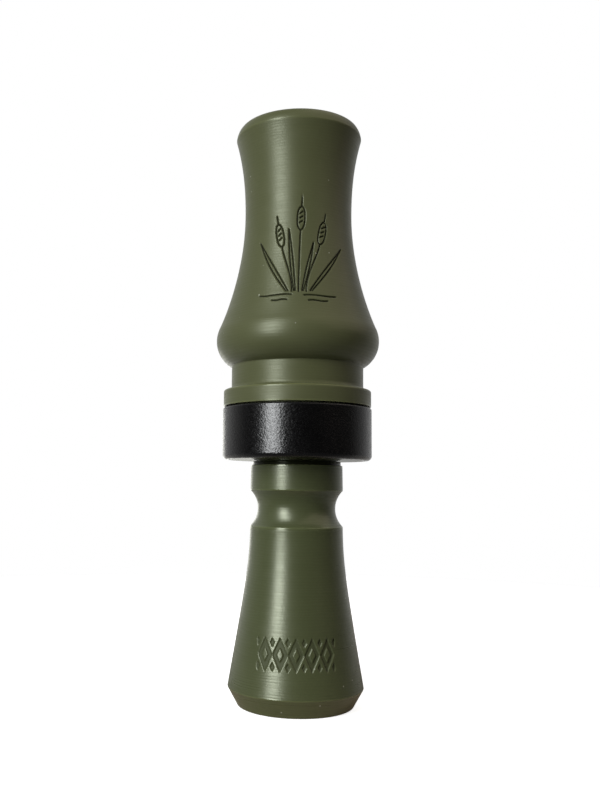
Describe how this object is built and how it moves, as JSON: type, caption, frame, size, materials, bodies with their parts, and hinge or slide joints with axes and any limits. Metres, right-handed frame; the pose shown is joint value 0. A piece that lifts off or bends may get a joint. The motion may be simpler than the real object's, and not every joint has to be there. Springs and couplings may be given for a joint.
{
  "type": "duck call",
  "caption": "Turned double-reed duck call: a flared barrel with a metal band, pushed over the O-rings of a bell-ended insert that carries the tone board, reeds and cork.",
  "frame": {"origin": "centre of the bell's flat rim, on the call's axis", "axes": "+Z along the axis towards the mouthpiece, -Y the side of the tone board that the reeds lie on"},
  "size_m": [0.038, 0.038, 0.1347],
  "materials": {
    "barrel_plastic": "olive drab polycarbonate, satin from the lathe",
    "end_piece_plastic": "darker olive green polycarbonate, satin, with fine turning marks",
    "band_metal": "black anodised over a fine blasted texture",
    "reed_film": "clear-frosted polyester film",
    "cork": "natural agglomerated cork",
    "rubber": "black nitrile, matt"
  },
  "bodies": {
    "insert": {"end_piece": "end_piece_plastic", "tone_board": "end_piece_plastic", "wedge": "cork"},
    "seals": {"o_ring_rear": "rubber", "o_ring_front": "rubber"},
    "barrel": {"barrel": "barrel_plastic", "band": "band_metal"},
    "lower_reed": {"lower_reed": "reed_film"},
    "upper_reed": {"upper_reed": "reed_film"}
  },
  "joints": [
    {"name": "barrel_turn", "type": "hinge", "parent": "insert", "child": "seals", "pos_m": [0, 0, 0.05525], "axis": [0, 0, 1], "continuous": true},
    {"name": "barrel_pull", "type": "slide", "parent": "seals", "child": "barrel", "axis": [0, 0, 1], "range_m": [0, 0.075]},
    {"name": "lower_reed_flex", "type": "hinge", "parent": "insert", "child": "lower_reed", "pos_m": [0, -0.00097, 0.086], "axis": [1, 0, 0], "range_deg": [-2.2, 2], "stiffness_Nm_per_rad": 0.0067, "deforming": ["lower_reed"]},
    {"name": "upper_reed_flex", "type": "hinge", "parent": "insert", "child": "upper_reed", "pos_m": [0, -0.00128, 0.086], "axis": [1, 0, 0], "range_deg": [-2.2, 2], "stiffness_Nm_per_rad": 0.0067, "deforming": ["upper_reed"]}
  ],
  "couplings": [
    {"joint": "upper_reed_flex", "follows": "lower_reed_flex", "ratio": 1}
  ]
}
